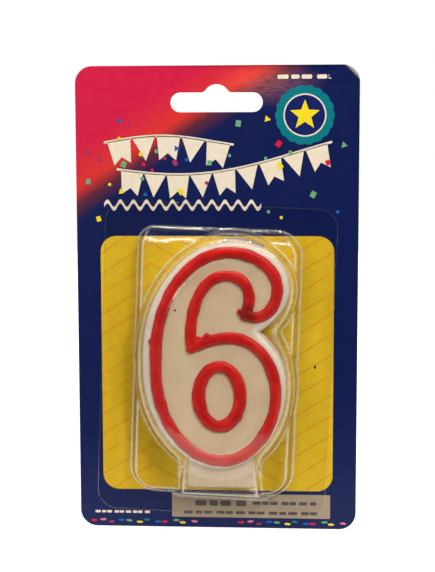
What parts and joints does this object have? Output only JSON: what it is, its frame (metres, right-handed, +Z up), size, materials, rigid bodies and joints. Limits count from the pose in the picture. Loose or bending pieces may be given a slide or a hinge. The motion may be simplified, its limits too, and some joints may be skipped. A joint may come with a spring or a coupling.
{
  "type": "carded number birthday candle",
  "caption": "Wax numeral candle with piped wax lines and a folded wick, in a clear blister that hinges off a printed hanging card.",
  "frame": {"origin": "top of the hang slot, on the card's printed face, where a shop peg bears", "axes": "+Z up the card, +X to the right as the printed face is read, -Y out of the printed face"},
  "size_m": [0.0984, 0.0136, 0.1635],
  "materials": {
    "printed_board": "satin",
    "clear_sheet": "gloss",
    "white_wax": "satin",
    "red_wax": "satin",
    "cotton": "matte"
  },
  "bodies": {
    "card": {"backing_card": "printed_board"},
    "cover": {"blister": "clear_sheet"},
    "candle": {"candle_body": "white_wax", "outline_bead": "red_wax", "counter_bead": "red_wax", "wick_core": "cotton"},
    "wick_end": {"wick_tip": "cotton"}
  },
  "joints": [
    {"name": "blister_open", "type": "hinge", "parent": "card", "child": "cover", "pos_m": [-0.04107, -0.0003, -0.09435], "axis": [-0.0401, 0, -0.9992], "range_deg": [0, 135]},
    {"name": "candle_out", "type": "slide", "parent": "card", "child": "candle", "axis": [0, -1, 0], "range_m": [0, 0.0285]},
    {"name": "wick_raise", "type": "hinge", "parent": "candle", "child": "wick_end", "pos_m": [0.002, -0.0055, -0.05464], "axis": [0, -1, 0], "range_deg": [0, 82]}
  ],
  "couplings": [
    {"joint": "candle_out", "follows": "blister_open", "m_per_rad": 0.012},
    {"joint": "wick_raise", "follows": "blister_open", "ratio": 0.6}
  ]
}
